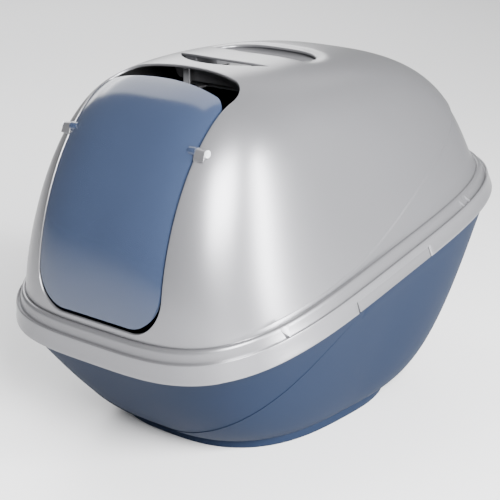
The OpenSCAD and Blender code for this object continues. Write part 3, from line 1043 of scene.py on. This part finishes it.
@dataclass
class Pan:
    """Slate-blue pan: foot ring, hull that bulges to the sloping rim, and the rim under the skirt.

    Its rings are worked out in the row frame, in millimetres. The foot's section lists insets and levels.
    """

    form: HoodForm
    foot_half: tuple[float, float] = (126.0, 155.0)
    foot_n: float = 2.8
    foot_section: tuple[tuple[float, float], ...] = (
        (13, 7.5), (10.5, 0.5), (10, 0), (1.6, 0), (0.5, 0.4), (0, 1.4), (0, 9.0), (0.2, 9.7), (0.7, 10.0))
    foot_h: float = 10.0
    floor_h: float = 10.5
    shift: float = -8.7
    wall: float = 3.0
    power: float = 0.85
    step: float = 1.7
    edge: float = 0.5
    hull_t: float = 0.32
    rim_t: float = 0.475
    rim_span: float = 15.4
    columns: int = 300

    def foot(self, phi: Array, d: Array | float, z: float) -> Array:
        """Ring of the foot, drawn in by d, at the level z."""
        half, b = self.foot_half[0] - d, self.foot_half[1] - d
        return outline(half, b, b, self.foot_n, self.foot_n, self.shift, z, phi)

    def rim(self, phi: Array, t: float, w: float) -> Array:
        """Ring of the rim at the wall fraction t and the level w of the hood's frame."""
        return self.form.tip(self.form.ledge(t, w, phi)) / MM

    def line(self, phi: Array) -> Array:
        """Height share of the styling line: a smooth step from low down in front to the rim at the side."""
        return 0.05 + 0.93 * smooth(from_front(phi) / 80)

    def hull(self, s: Array | float, phi: Array, d: Array | float, t: float, z: float) -> Array:
        """Ring of the side: from foot to rim in the share (1 - (1 - s)^power)^(1 / root).

        The root goes by the square of the sine from the side to the front or, fuller, to the rear.

        Args:
            s: height share.
            phi: direction in radians.
            d: distance by which the foot is drawn in.
            t: wall fraction of the rim that it runs to.
            z: level that it starts from.

        Returns:
            Array of x, y, z.
        """
        side, front, rear = 1.5, 1.6, 2.7
        c = np.sin(phi)
        root = side + (np.where(c < 0, front, rear) - side) * c ** 2
        g = (1 - (1 - s) ** self.power) ** (1 / root)
        foot, rim = self.foot(phi, d, z), self.rim(phi, t, -2)
        p = foot + (rim - foot) * g[..., None]
        p[:, 2] = z + (rim[:, 2] - z) * s
        return p

    def rings(self) -> Array:
        """Rings from under the foot up the outside with its styling line, over the rim and down the inside.

        Returns:
            Array of rings.
        """
        phi, t = crowded(self.columns, 0.07), self.hull_t
        share, crowd = self.wall / self.rim_span, 2.2
        line = self.line(phi)
        depth = self.step * smooth((1 - line) / 0.12)
        rings = [self.foot(phi, d, z) for d, z in self.foot_section]
        rings += [self.hull(line * k, phi, self.edge, t, self.foot_h)
                  for k in np.linspace(0, 1, 28)[1:] ** crowd]
        rings += [self.hull(line + 0.004 * (1 - line), phi, self.edge + depth, t, self.foot_h)]
        rings += [self.hull(line + (1 - line) * k, phi, self.edge + depth * (1 - smooth(k)), t, self.foot_h)
                  for k in np.linspace(0, 1, 30)[1:]]
        lip, back = self.rim_t, self.rim_t + share
        rings += [self.rim(phi, at, w) for at, w in (
            (t + 0.01, 0), (lip - 0.01, 16.6), (lip + 0.01, 17.6), (lip + 0.04, 18), (back - 0.03, 18),
            (back, 17.6))]
        rings += [self.hull(s, phi, self.wall, t + share, self.floor_h)
                  for s in np.linspace(0, 1, 40)[:0:-1] ** crowd]
        rings += [self.foot(phi, d, self.floor_h) for d in (self.wall, 30)]
        return np.stack(rings)

    def dress(self, finish: bpy.types.Material) -> bpy.types.Object:
        """Builds the pan and hides the plain CAD one.

        Args:
            finish: slate-blue plastic.

        Returns:
            The pan.
        """
        points, faces = capped(self.rings())
        piece = make_object("pan_moulding", points * MM, faces, finish, "pan", 42)
        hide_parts("base_pan")
        return piece


@dataclass
class SideClip:
    """Strip of skirt between two slits, with a ridge inside that snaps past the pan's lug.

    The section is a list of wall fractions and levels: over the top, down the outside and up the inside.
    """

    hood: Hood
    slit: float = 2.6
    columns: int = 60
    section: tuple[tuple[float, float], ...] = (
        (0.36, 12.2), (0.27, 12.2), (0.165, 12.2), (0.16, 11.9), (0.09, 7), (0.02, 1.5), (0.0, 0.7),
        (0.01, 0.35), (0.03, 0.3), (0.17, 0.3), (0.2, 0.7), (0.28, 2.4), (0.3, 2.8), (0.3, 4.2), (0.27, 4.8),
        (0.25, 5.2))

    def dress(self, side: Side, finish: bpy.types.Material) -> bpy.types.Object:
        """Carries the clip's section along the skirt: each corner follows the superellipse of its own t.

        Args:
            side: left or right.
            finish: hood plastic.

        Returns:
            The clip.
        """
        form, (front, rear), name = self.hood.form, self.hood.clip_v, side.name.lower()
        t, w = np.array(self.section).T
        v = np.linspace(front + self.slit, rear - self.slit, self.columns)[:, None]
        rings = np.stack(np.broadcast_arrays(side.value * form.skirt(t, v), v, w[None, :]), axis=-1)
        points, faces = capped(rings if side is Side.RIGHT else rings[:, ::-1])
        piece = make_object(f"clip_strip_{name}", form.tip(points), faces, finish, f"clip_{name}",
                            35)
        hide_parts(f"side_clip_{name}")
        return piece


@dataclass
class FingerWell:
    """Bowl under the grip bar with air slots in its floor, the filter's tray below it and webs under the bar.

    The bowl has its own frame, level with its floor: x across, y back from its front wall, z up from the
    floor's underside, tilted against the frame of the hood. The floor and its flare are half width, front
    reach and rear reach, each air slot is half width and half length, and the ear is y and z.
    """

    hood: Hood
    wall: float = 2.4
    front: float = -50.5
    floor: float = 220.0
    slope: float = math.radians(11.3)
    middle: float = 55.0
    square: float = 3.4
    tall: float = 50.0
    floor_half: tuple[float, float, float] = (62.0, 52.0, 46.0)
    flare: tuple[float, float, float] = (14.0, 3.0, 42.0)
    floor_q: float = 0.4
    hub_x: float = 10.0
    grid: tuple[int, int] = (96, 220)
    air_pitch: float = 20.0
    air_half: tuple[float, float] = (3.0, 26.0)
    air_y: float = 60.0
    tray_y: tuple[float, float] = (27.0, 93.0)
    tray_half: float = 51.0
    tray_h: float = 8.0
    tray_wall: float = 2.0
    ear: tuple[float, float] = (98.0, -5.0)
    web_x: float = 40.0
    web_half: float = 0.9
    web_h: float = 17.0

    def place(self, p: Array) -> Array:
        """Turns points of the bowl's frame into the frame of the hood."""
        c, s, y, z = math.cos(self.slope), math.sin(self.slope), p[..., 1], p[..., 2]
        return np.stack([p[..., 0], self.front + y * c + z * s, self.floor - y * s + z * c], axis=-1)

    def to_dish(self, phi: Array, z: Array, out: float) -> Array:
        """Distance from the bowl's middle to the outline of the dish, found by halving an interval.

        Ahead of the dish's widest place the outline runs straight forward.

        Args:
            phi: direction in radians.
            z: height in the bowl's frame.
            out: distance by which the outline is set out.

        Returns:
            The distance.
        """
        hood = self.hood
        base, power = hood.bar_rear + hood.bar_bow, hood.dish_power
        near, far = np.zeros_like(z), np.full_like(z, 150.0)
        for _ in range(22):
            r = (near + far) / 2
            y = self.middle + r * np.sin(phi)
            v = self.front + y * math.cos(self.slope) + z * math.sin(self.slope)
            back = np.maximum(v - base, 0) / (hood.dish_rear - base + out)
            inside = (r * np.abs(np.cos(phi)) / (hood.dish_half + out)) ** power + back ** power < 1
            near, far = np.where(inside, r, near), np.where(inside, far, r)
        return near

    def bowl(self, q: Array, phi: Array, d: float) -> Array:
        """Bowl drawn in by d: first the flat floor, then the wall, which flares by sin(90 t)^0.8 to the dish.

        The floor's rows shrink to a hub between two air slots. Behind the bar the wall goes over to the
        dish's own outline by a smooth step of the height and of the direction.

        Args:
            q: row parameter from the middle of the floor to above the wall.
            phi: direction in radians.
            d: distance by which the surface is drawn in, and its floor lifted.

        Returns:
            Array of x, y, z in the bowl's frame.
        """
        t = 0.92 * (np.clip(q - self.floor_q, 0, 1) / (1 - self.floor_q)) ** 1.6
        g = np.sin(math.pi / 2 * t) ** 0.8
        half, front, rear = [low + more * g - d for low, more in zip(self.floor_half, self.flare)]
        p = outline(half, front, rear, self.square, self.square, self.middle, self.tall * t + d, phi)
        reach = self.to_dish(phi, p[..., 2], 0.6 + self.wall - d)
        wide = np.stack([reach * np.cos(phi), self.middle + reach * np.sin(phi), p[..., 2]], axis=-1)
        p = p + (wide - p) * (smooth((t - 0.04) / 0.24) * smooth((np.sin(phi) + 0.25) / 0.3))[..., None]
        share = np.clip(q / self.floor_q, 0.02, 1)[..., None]
        hub = np.array([self.hub_x, self.middle, 0.0])
        flat = hub + (p - hub) * np.concatenate([share, share, share * 0 + 1], -1)
        return np.where(q[..., None] < self.floor_q, flat, p)

    def gap(self, p: Array) -> Array:
        """Distance below the underside of the hood and outside the five air slots.

        Args:
            p: points of the bowl's frame.

        Returns:
            Distance, above nought where there is bowl.
        """
        below = (1 - self.hood.form.level(self.place(p), self.hood.wall + 0.35)) * 60
        near = np.clip(np.round(p[..., 0] / self.air_pitch), -2, 2) * self.air_pitch
        slots = np.maximum(np.abs(p[..., 0] - near) - self.air_half[0],
                           np.abs(p[..., 1] - self.air_y) - self.air_half[1])
        return np.minimum(below, np.where(p[..., 2] < self.wall + 0.01, slots, FAR))

    def tray(self) -> Array:
        """Frame round the filter pad: rings of a squared outline, up the outside and down the inside.

        Returns:
            Array of rings, to be closed as a loop.
        """
        (y0, y1), foot, wall, cut, square = self.tray_y, -self.tray_h, self.tray_wall, 0.3, 14.0
        section = ((cut, foot), (0, foot + cut), (0, 0.4), (wall, 0.4), (wall, foot + cut),
                   (wall - cut, foot))
        return np.stack([outline(self.tray_half - d, (y1 - y0) / 2 - d, (y1 - y0) / 2 - d, square, square,
                                 (y0 + y1) / 2, z, crowded(120, 0.2)) for d, z in section])

    def web(self, side: Side) -> Array:
        """Wall under the end of the bar: it runs forward under the bar, then out along the bar's front edge.

        Args:
            side: left or right.

        Returns:
            Array of rings along the wall.
        """
        hood = self.hood
        back = np.stack([np.full(8, self.web_x), np.linspace(14, -12, 8)], axis=-1)
        x = np.linspace(self.web_x + 2, 61, 12)
        along = np.stack([x, hood.bar_edge(x / hood.slot_half) + 1.6], axis=-1)
        path = curve_through(np.concatenate([back[::3], [[self.web_x, -17.0]], along[::3]]), 40)
        step = np.gradient(path, axis=0)
        normal = np.stack([-step[:, 1], step[:, 0]], axis=-1) / np.linalg.norm(step, axis=1, keepdims=True)
        top = hood.form.top(path[:, 0], path[:, 1]) - 1.6
        rings = np.stack([np.column_stack([path + normal * way * self.web_half, top - drop])
                          for way, drop in ((1, self.web_h), (1, 0), (-1, 0), (-1, self.web_h))], axis=1)
        rings[..., 0] *= side.value
        return rings if side is Side.LEFT else rings[:, ::-1]

    def dress(self, finish: bpy.types.Material, bar: bpy.types.Material) -> list[bpy.types.Object]:
        """Builds bowl, tray, ears and webs, and hides the plain CAD bowl.

        Args:
            finish: grey plastic of the tray.
            bar: silver-grey plastic of the hood, for bowl and webs.

        Returns:
            The pieces.
        """
        tip, (rows, cols) = self.hood.form.tip, self.grid
        q = np.linspace(0.001, 1, rows)[:, None] + np.zeros((1, cols))
        phi = crowded(cols, 0.08)[None, :] + np.zeros((rows, 1))
        step = (1 / (rows - 1), 2 * math.pi / cols)
        q, phi, value = snap_to(q, phi, lambda a, b: self.bowl(a, b, self.wall), self.gap, step)
        outer, inner = [self.bowl(q, phi, d).reshape(-1, 3) for d in (0.0, self.wall)]
        points, faces = walled(outer, inner, *grid_faces(value, True), 0.15)
        made = [make_object("finger_bowl", tip(self.place(points)), faces, bar, "hood", 45)]
        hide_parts("handle_cup")
        points, faces = looped(self.tray())
        made.append(make_object("filter_tray", tip(self.place(points)), faces, finish, "hood"))
        ear = Lug(self.ear, radius=4.0, bore=2.06, start=30.0, end=34.0, tail=5.5, tip=2.5,
                  heading=math.pi / 2, rounding=0.5)
        for side in Side:
            name = side.name.lower()
            points, faces = looped(ear.rings(side))
            made.append(make_object(f"cover_ear_{name}", tip(self.place(points)), faces, finish, "hood"))
            points, faces = capped(self.web(side))
            made.append(make_object(f"bar_web_{name}", tip(points), faces, bar, "hood"))
        return made


@dataclass(frozen=True)
class SoftLight:
    """Soft rectangular light: place, aim and size in metres, power in watts."""

    name: str
    at: tuple[float, float, float]
    aim: tuple[float, float, float]
    size: tuple[float, float]
    power: float

    def hang(self) -> None:
        """Hangs the light and turns it to its aim."""
        data = bpy.data.lights.new(self.name, "AREA")
        data.shape = "RECTANGLE"
        data.size, data.size_y = self.size
        data.energy = self.power
        lamp = bpy.data.objects.new(self.name, data)
        bpy.context.collection.objects.link(lamp)
        lamp.location = self.at
        lamp.rotation_euler = (Vector(self.aim) - Vector(self.at)).to_track_quat("-Z", "Y").to_euler()


@dataclass
class Studio:
    """Plain pale floor, soft lights and the camera at the photograph's angle."""

    camera_at: tuple[float, float, float] = (1.0212, -1.2445, 0.6965)
    back: tuple[float, float, float] = (0.60978, -0.73031, 0.30792)
    lens: float = 104.4
    sensor: float = 36.0
    floor_half: float = 9.0
    lights: tuple[SoftLight, ...] = (
        SoftLight("key", (1.95, -1.15, 1.42), (0, -0.05, 0.2), (1.1, 1.2), 255),
        SoftLight("right strip", (2.15, 0.35, 0.8), (0, -0.05, 0.25), (0.3, 1.4), 140),
        SoftLight("canopy", (-1.05, 0.25, 1.95), (0, -0.16, 0.4), (0.9, 2.3), 26),
        SoftLight("back left", (-3.0, 2.0, 1.7), (-0.6, 0.6, 0.0), (3.0, 1.2), 75),
        SoftLight("back top", (-0.6, 1.9, 2.6), (0, 0.9, 0.0), (2.6, 1.4), 12))

    def camera(self) -> None:
        """Places the camera: it looks along minus the back vector, upright."""
        data = bpy.data.cameras.new("camera")
        data.lens, data.sensor_width, data.clip_end = self.lens, self.sensor, 50
        cam = bpy.data.objects.new("camera", data)
        bpy.context.collection.objects.link(cam)
        back = Vector(self.back).normalized()
        right = Vector((-back.y, back.x, 0)).normalized()
        turn = Matrix((right, back.cross(right), back)).transposed().to_4x4()
        cam.matrix_world = Matrix.Translation(self.camera_at) @ turn
        bpy.context.scene.camera = cam

    def floor(self) -> None:
        """Lays a flat, plain, pale floor."""
        half = self.floor_half
        mesh = bpy.data.meshes.new("floor")
        corners = [(-half, -half, 0), (half, -half, 0), (half, half, 0), (-half, half, 0)]
        mesh.from_pydata(corners, [], [(0, 1, 2, 3)])
        material = bpy.data.materials.new("matt white floor")
        material.use_nodes = True
        shader = material.node_tree.nodes["Principled BSDF"]
        shader.inputs["Base Color"].default_value = linear("#f2f2f3")
        shader.inputs["Roughness"].default_value = 0.45
        mesh.materials.append(material)
        plane = bpy.data.objects.new("floor", mesh)
        bpy.context.collection.objects.link(plane)

    def build(self) -> None:
        """Builds camera, floor, pale surroundings and lights."""
        self.camera()
        self.floor()
        world = bpy.data.worlds.new("studio")
        world.use_nodes = True
        sky = world.node_tree.nodes["Background"]
        sky.inputs["Color"].default_value = linear("#f4f5f6")
        sky.inputs["Strength"].default_value = 0.42
        bpy.context.scene.world = world
        for light in self.lights:
            light.hang()


def main() -> None:
    """Builds the parts in order and reports each one."""
    logging.basicConfig(level=logging.INFO, format="%(name)s: %(message)s")
    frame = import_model()
    Studio().build()
    silver = MouldedPlastic("pearl grey moulded polypropylene", "#747477", 0.31, metallic=0.6,
                            cloud=0.015).build()
    slate = MouldedPlastic("slate blue moulded polypropylene", "#161f30", 0.6, specular=0.06).build()
    cup = MouldedPlastic("grey moulded polypropylene", "#79797c", 0.4).build()
    fleece = MouldedPlastic("charcoal needle-felt", "#1c1c1d", 0.95, grain_mm=1.6, grain_depth=0.9).build()
    tint = ClearPlastic("blue tinted clear polystyrene", "#2f3a51", 0.9, roughness=0.14).build()
    clear = ClearPlastic("clear polystyrene", "#e4e8ec", 0.45).build()
    form = HoodForm()
    hood = Hood(form)
    made = [*hood.dress(silver), *Door(hood).dress(tint), Pan(form).dress(slate)]
    made += FingerWell(hood).dress(cup, silver)
    made += [SideClip(hood).dress(side, silver) for side in Side]
    for name, finish in {"hinge_pin_left": clear, "hinge_pin_right": clear, "filter_cover": cup,
                         "carbon_filter": fleece}.items():
        node = frame["nodes"][name]
        node.data.materials.clear()
        node.data.materials.append(finish)
        made.append(node)
    for piece in made:
        LOG.info("%s: %d faces", piece.name, len(piece.data.polygons))


if __name__ == "__main__":
    main()
